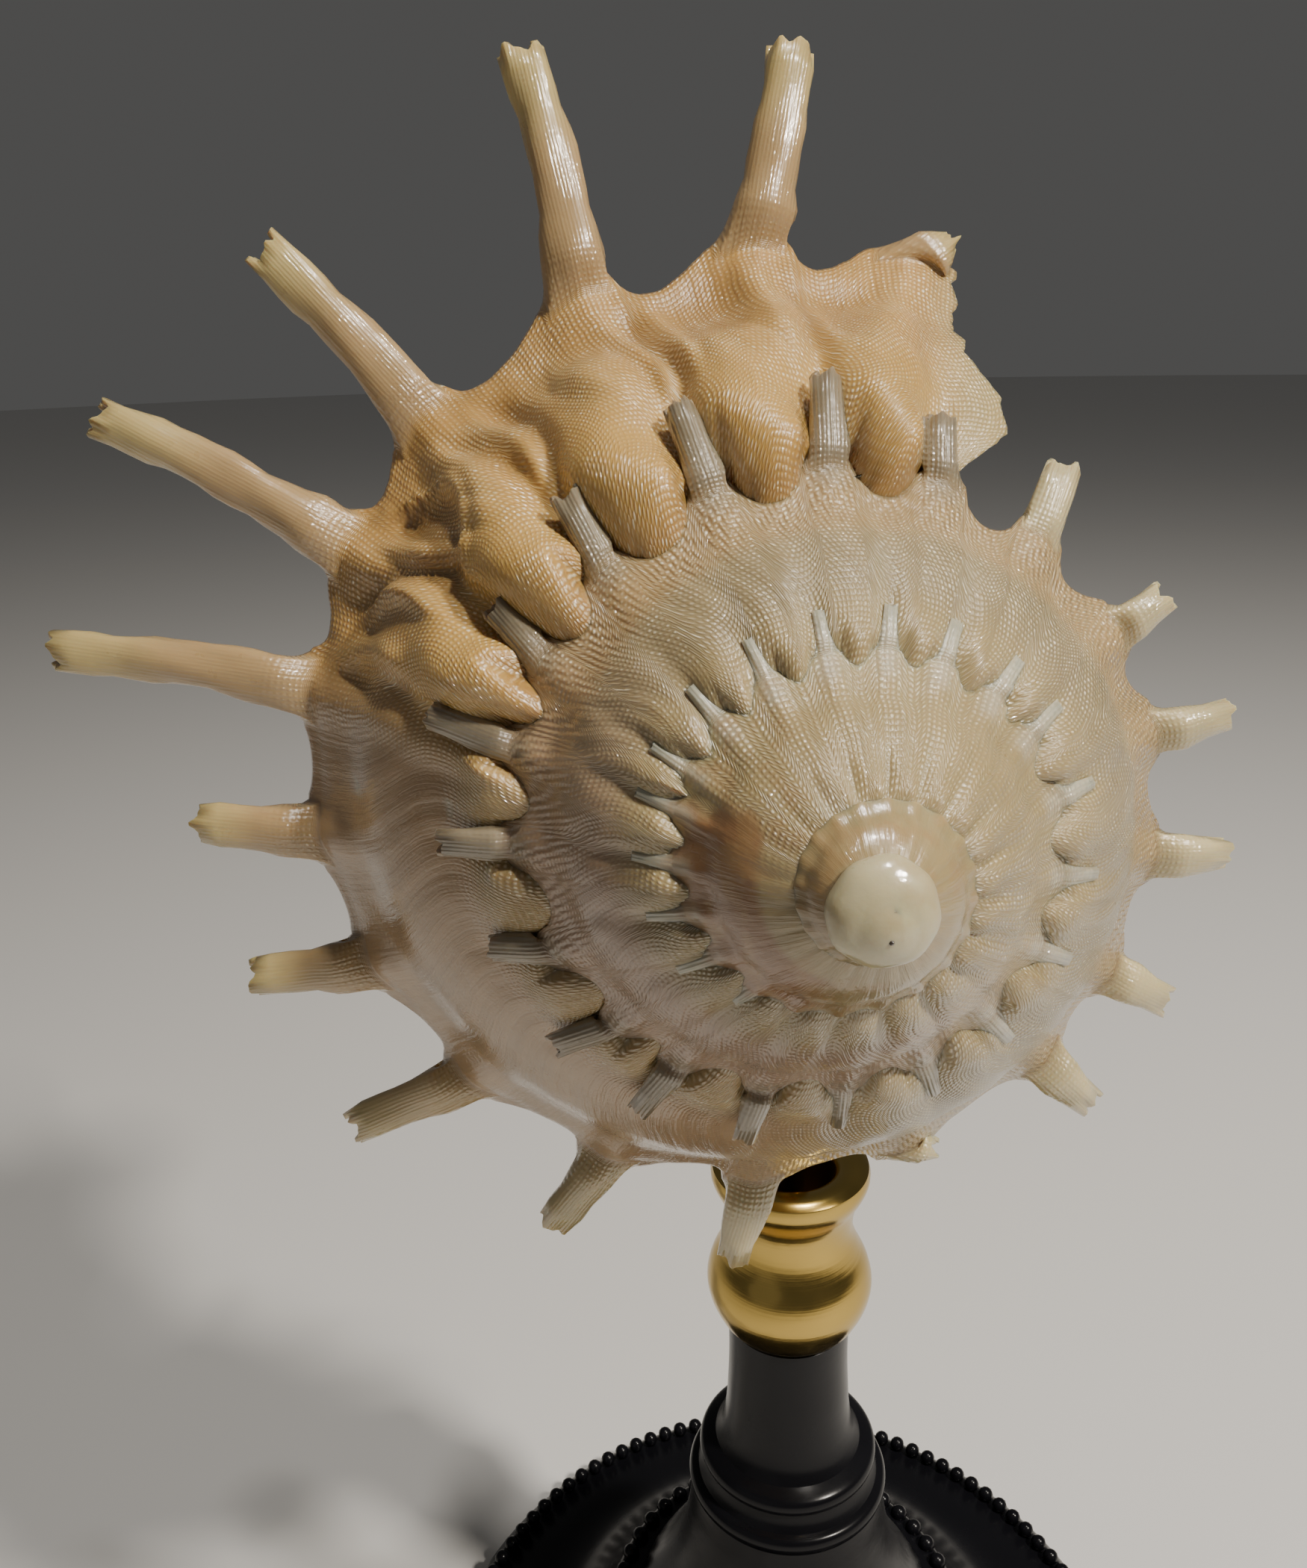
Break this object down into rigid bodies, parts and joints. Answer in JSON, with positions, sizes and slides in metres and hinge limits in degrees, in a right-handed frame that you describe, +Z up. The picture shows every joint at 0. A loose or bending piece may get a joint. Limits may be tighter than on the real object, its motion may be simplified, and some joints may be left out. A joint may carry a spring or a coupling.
{
  "type": "carrier shell on a stand",
  "caption": "Spired sea shell with long hollow rays round its keel and an open mouth below, mounted on a rod above a brass cup and a black turned foot.",
  "frame": {"origin": "centre of the flat underside of the stand's foot", "axes": "+Z up through the stand and the shell, -Y the way the shell's apex faces"},
  "size_m": [0.1062, 0.0909, 0.1832],
  "materials": {
    "shell": "cream and honey coloured shell, finely beaded, softly glossy, greyer and pinker on the older whorls",
    "brass": "polished brass with fine turning lines",
    "black_lacquer": "turned wood under glossy black lacquer"
  },
  "bodies": {
    "root": {"shell": "shell", "mounting_rod": "brass", "brass_cup": "brass", "stand_column": "black_lacquer", "stand_foot": "black_lacquer"}
  },
  "joints": []
}
